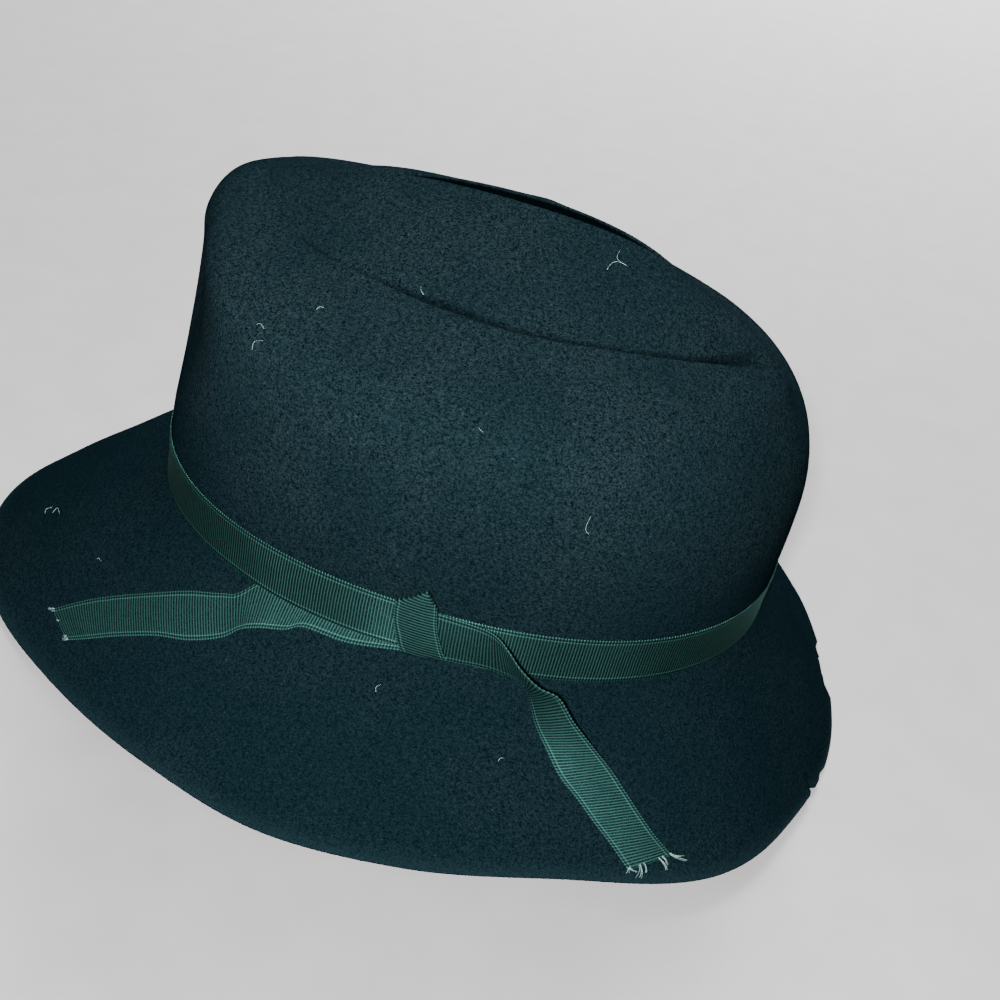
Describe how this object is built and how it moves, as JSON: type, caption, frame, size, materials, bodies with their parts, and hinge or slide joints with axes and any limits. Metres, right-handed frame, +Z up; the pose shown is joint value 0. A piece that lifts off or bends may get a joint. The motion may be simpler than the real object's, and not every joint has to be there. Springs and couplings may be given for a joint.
{
  "type": "felt hat",
  "caption": "Soft felt hat with a tall creased crown, a sloping all-round brim and a grosgrain ribbon tied at the left side with two loose frayed tails.",
  "frame": {"origin": "middle of the hat's box at the surface it rests on", "axes": "+Z up; the front of the hat faces -Y; +X is the wearer's left, where the ribbon is tied"},
  "size_m": [0.259, 0.3128, 0.1657],
  "materials": {
    "felt": "dark bottle-teal wool felt, fine mottled nap, matt",
    "ribbon": "green-teal grosgrain with fine cross ribs and paler looped edges, soft sheen"
  },
  "bodies": {
    "root": {"felt_body": "felt", "ribbon_band": "ribbon", "ribbon_knot": "ribbon", "ribbon_tail_front": "ribbon", "ribbon_tail_back": "ribbon"}
  },
  "joints": []
}
